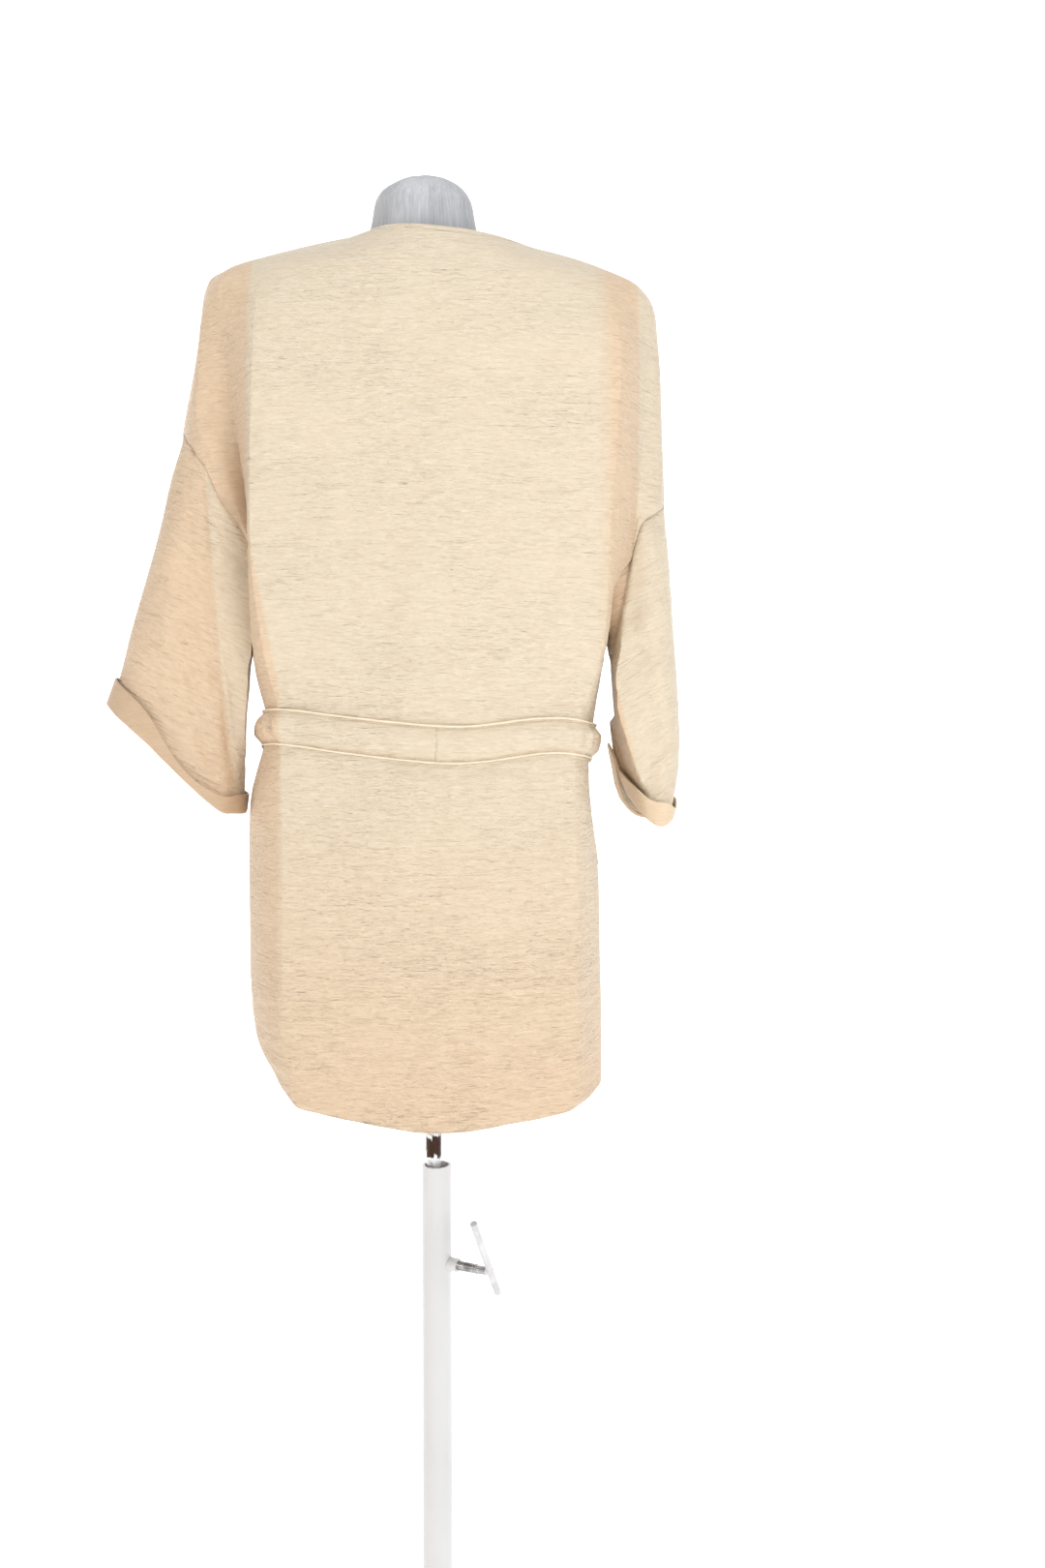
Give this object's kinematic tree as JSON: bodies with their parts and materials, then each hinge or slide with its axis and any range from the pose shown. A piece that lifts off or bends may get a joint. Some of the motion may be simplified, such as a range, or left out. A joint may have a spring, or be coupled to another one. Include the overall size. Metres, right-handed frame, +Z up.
{
  "type": "tunic top on a limbless dress form",
  "caption": "Long crepe tunic top with drop shoulders, wide turned-up sleeves and a waist channel, worn by a limbless dress form on a clamped pole stand.",
  "frame": {"origin": "middle of the base plate's underside, on the pole's axis", "axes": "+Z up along the pole; +Y out of the garment's back, -Y out of its front; +X towards the wearer's left"},
  "size_m": [0.5671, 0.38, 1.577],
  "materials": {
    "crepe": "soft satin, crinkled crepe",
    "crepe_reverse": "smooth, matte",
    "jersey": "matte, brushed",
    "steel_tube": "satin",
    "white_paint": "gloss",
    "chrome": "polished"
  },
  "bodies": {
    "stand": {"base_plate": "white_paint", "pole": "white_paint"},
    "mast": {"mast": "steel_tube"},
    "form": {"dress_form": "jersey", "back": "crepe", "front": "crepe", "sleeve_left": "crepe", "sleeve_right": "crepe", "cuff_left": "crepe_reverse", "cuff_right": "crepe_reverse", "waist_casing": "crepe", "neck_binding": "crepe"},
    "clamp": {"clamp_screw": "chrome"}
  },
  "joints": [
    {"name": "mast_slide", "type": "slide", "parent": "stand", "child": "mast", "axis": [0, 0, 1], "range_m": [-0.13, 0.25]},
    {"name": "form_swivel", "type": "hinge", "parent": "mast", "child": "form", "pos_m": [0.0032, -0.0022, 0.9], "axis": [0, 0, 1], "continuous": true},
    {"name": "clamp_turn", "type": "hinge", "parent": "stand", "child": "clamp", "pos_m": [-0.03118, 0.018, 0.506], "axis": [-0.866, 0.5, 0], "continuous": true}
  ]
}
